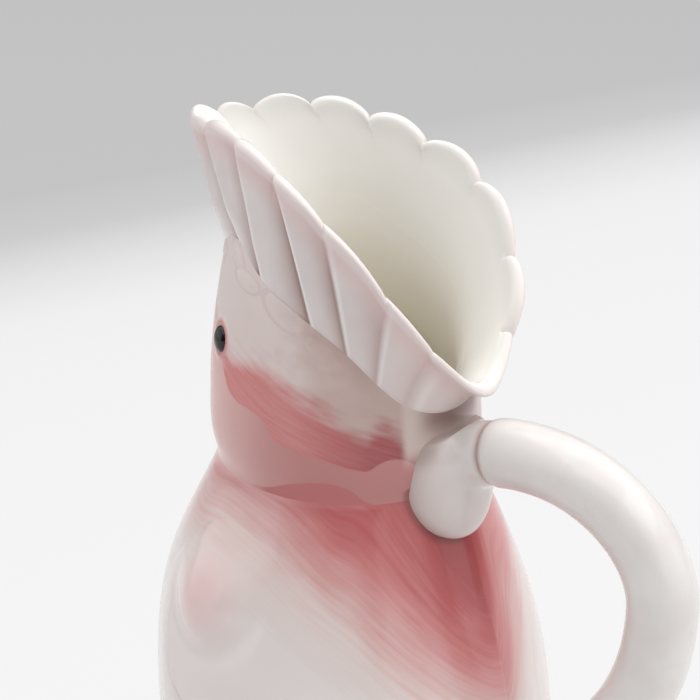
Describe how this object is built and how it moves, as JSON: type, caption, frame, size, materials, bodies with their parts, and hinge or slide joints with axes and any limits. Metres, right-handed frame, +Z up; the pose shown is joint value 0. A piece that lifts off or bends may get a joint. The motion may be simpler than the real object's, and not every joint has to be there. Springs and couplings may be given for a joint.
{
  "type": "bird-shaped carafe",
  "caption": "Glazed ceramic carafe shaped like a crested parrot: a hollow belly and head, a fluted crest that opens as the pouring mouth, and a looped handle at the back.",
  "frame": {"origin": "centre of the flat underside of the foot", "axes": "+Z up, the bird looks along -Y, its left side is +X and the handle is at +Y"},
  "size_m": [0.1252, 0.1845, 0.2779],
  "materials": {
    "torso_glaze": "gloss glaze over hand-brushed pink",
    "head_glaze": "gloss glaze over brushed pink and white",
    "crest_glaze": "gloss white glaze with pale pink grooves",
    "wing_glaze": "gloss white glaze with a pink blush",
    "tail_glaze": "gloss white glaze",
    "foot_glaze": "gloss grey glaze",
    "beak_glaze": "gloss horn-coloured glaze",
    "eye_glaze": "gloss black glaze",
    "handle_glaze": "gloss white glaze"
  },
  "bodies": {
    "root": {"torso_shell": "torso_glaze", "head_shell": "head_glaze", "crest_mouth": "crest_glaze", "left_wing": "wing_glaze", "right_wing": "wing_glaze", "tail": "tail_glaze", "left_foot": "foot_glaze", "right_foot": "foot_glaze", "upper_beak": "beak_glaze", "lower_beak": "beak_glaze", "left_eye": "eye_glaze", "right_eye": "eye_glaze", "handle_upper_stub": "handle_glaze", "handle_arch": "handle_glaze", "handle_lower_stub": "handle_glaze"}
  },
  "joints": []
}
